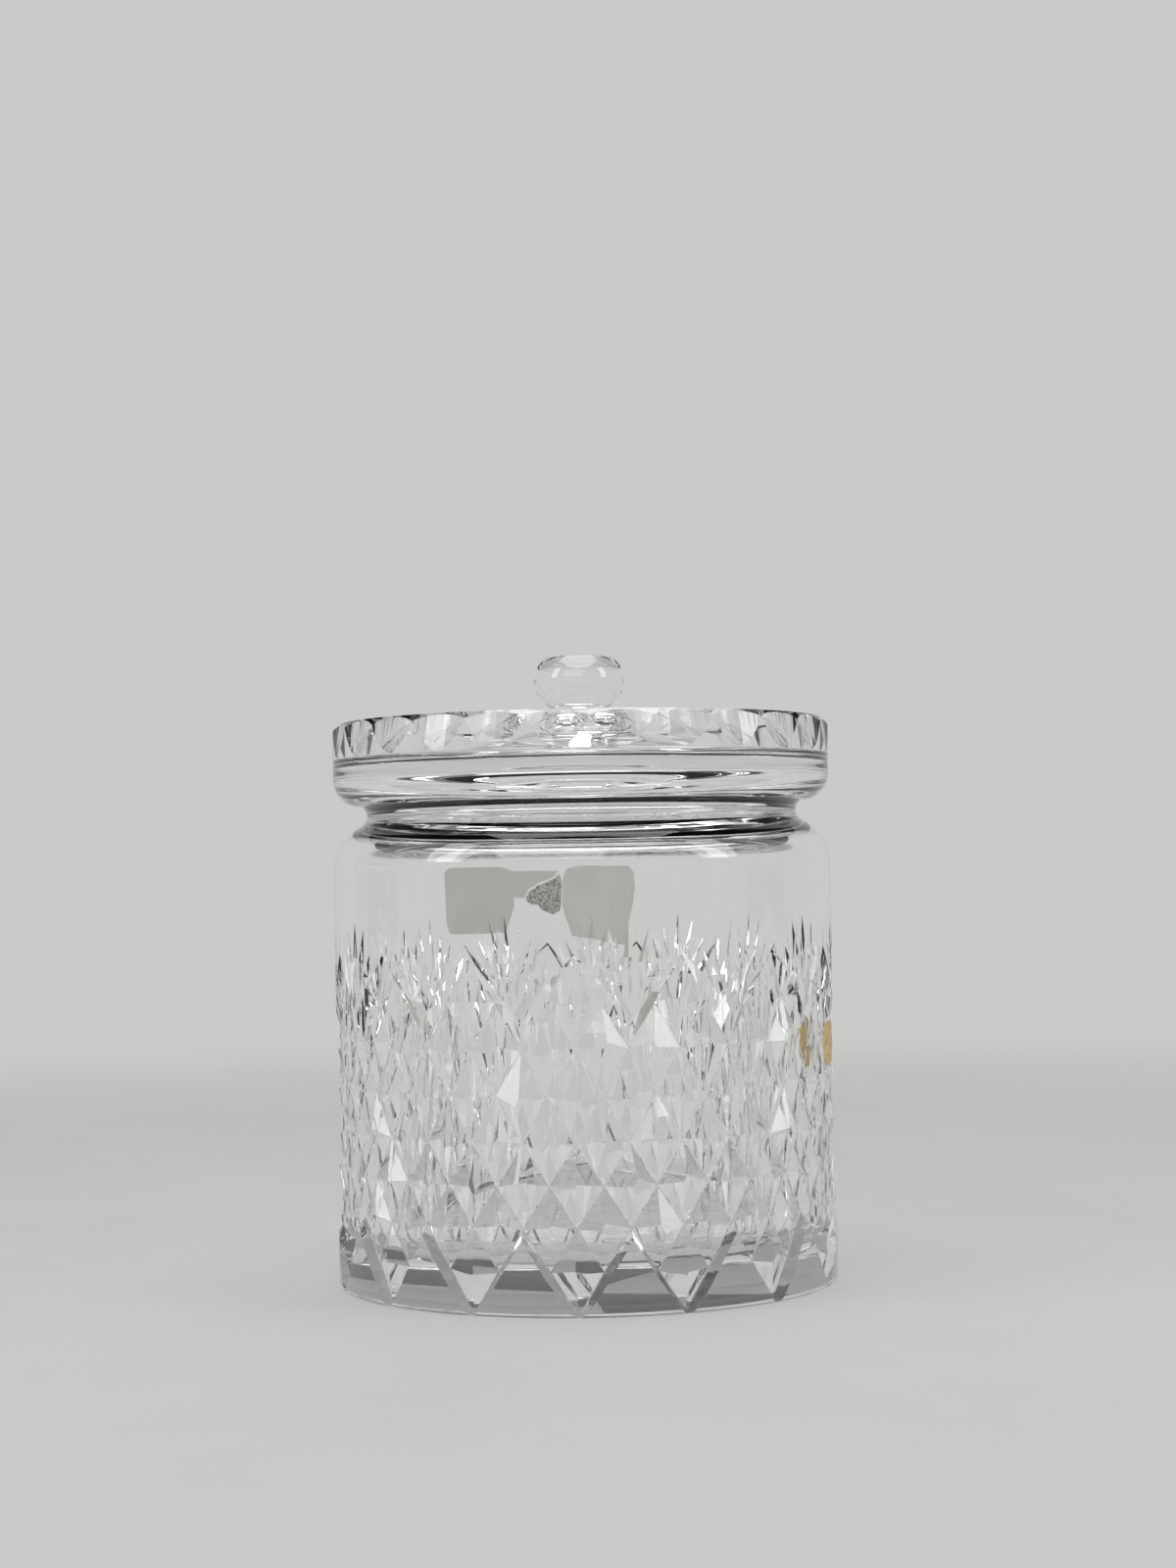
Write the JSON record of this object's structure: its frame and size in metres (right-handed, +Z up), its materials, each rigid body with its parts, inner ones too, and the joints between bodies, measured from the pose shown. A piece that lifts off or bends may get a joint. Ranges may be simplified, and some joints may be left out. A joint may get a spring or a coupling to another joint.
{
  "type": "biscuit jar",
  "caption": "Cut-glass biscuit jar with diamond and fan cutting, a waisted neck and a lift-off lid with a standing rim and a faceted knob.",
  "frame": {"origin": "centre of the jar's flat foot, on the surface that it stands on", "axes": "+Z up along the jar's round axis, towards the knob; the pictured front faces -Y"},
  "size_m": [0.13, 0.1303, 0.1631],
  "materials": {
    "jar_glass": "polished cut lead crystal",
    "lid_glass": "polished lead crystal",
    "knob_glass": "polished cut lead crystal",
    "label_paper": "matt aged paper",
    "label_glue": "rough glue and paper fibre",
    "seal_foil": "worn gold foil"
  },
  "bodies": {
    "jar": {"jar_body": "jar_glass", "label_scrap_left": "label_paper", "label_scrap_right": "label_paper", "label_residue": "label_glue", "foil_seal": "seal_foil"},
    "lid": {"lid": "lid_glass", "lid_knob": "knob_glass"}
  },
  "joints": [
    {"name": "lid_lift", "type": "slide", "parent": "jar", "child": "lid", "axis": [0, 0, 1], "range_m": [0, 0.06]}
  ]
}
